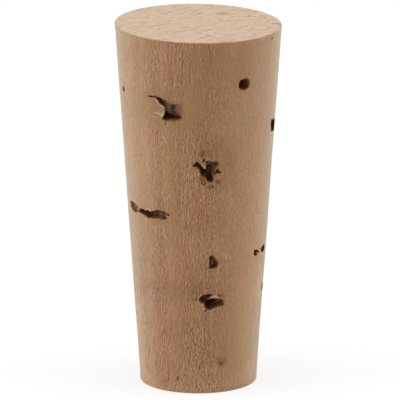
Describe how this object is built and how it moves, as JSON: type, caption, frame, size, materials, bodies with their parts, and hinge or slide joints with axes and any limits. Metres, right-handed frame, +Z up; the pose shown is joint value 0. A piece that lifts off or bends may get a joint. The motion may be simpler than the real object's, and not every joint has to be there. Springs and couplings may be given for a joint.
{
  "type": "cork stopper",
  "caption": "Tapered natural cork stopper, a plug with flat ends and pitted sides that closes a round bottle or flask neck by friction.",
  "frame": {"origin": "centre of the narrow end, which the stopper stands on", "axes": "+Z up along the stopper's axis from the narrow end to the wide end, -Y is the side with the star-shaped pit"},
  "size_m": [0.02, 0.02, 0.0442],
  "materials": {
    "cork": "natural cork, matt and unsealed, with dark brown pore linings"
  },
  "bodies": {
    "root": {"stopper": "cork"}
  },
  "joints": []
}
